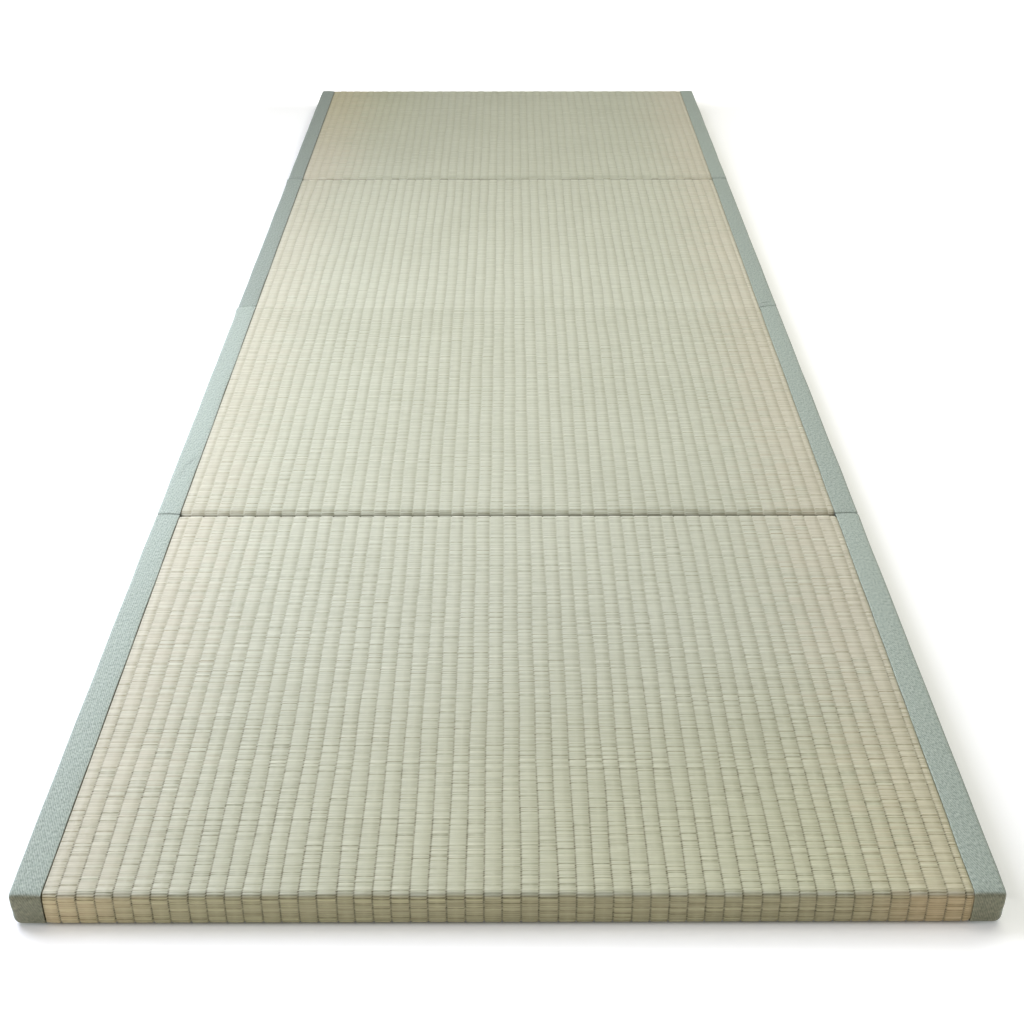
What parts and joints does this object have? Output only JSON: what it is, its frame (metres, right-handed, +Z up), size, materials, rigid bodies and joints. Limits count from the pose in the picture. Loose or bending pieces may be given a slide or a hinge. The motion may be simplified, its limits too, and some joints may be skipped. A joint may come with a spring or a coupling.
{
  "type": "folding tatami mat",
  "caption": "Flat floor mat of woven rush in equal panels that fold over one another, with a narrow cloth binding along both long edges.",
  "frame": {"origin": "centre of the mat's underside, on the surface it lies on", "axes": "+Z up out of the rush, +Y along the mat's length from the near end to the far end, +X across it to the right"},
  "size_m": [0.7, 2.1, 0.03],
  "materials": {
    "rush": "pale green-grey woven rush, satin",
    "binding": "pale grey-green twill cloth, matte"
  },
  "bodies": {
    "root": {"panel_near": "rush", "panel_middle": "rush", "panel_far": "rush", "binding_left_1": "binding", "binding_left_2": "binding", "binding_left_3": "binding", "binding_left_4": "binding", "binding_right_1": "binding", "binding_right_2": "binding", "binding_right_3": "binding", "binding_right_4": "binding"}
  },
  "joints": []
}
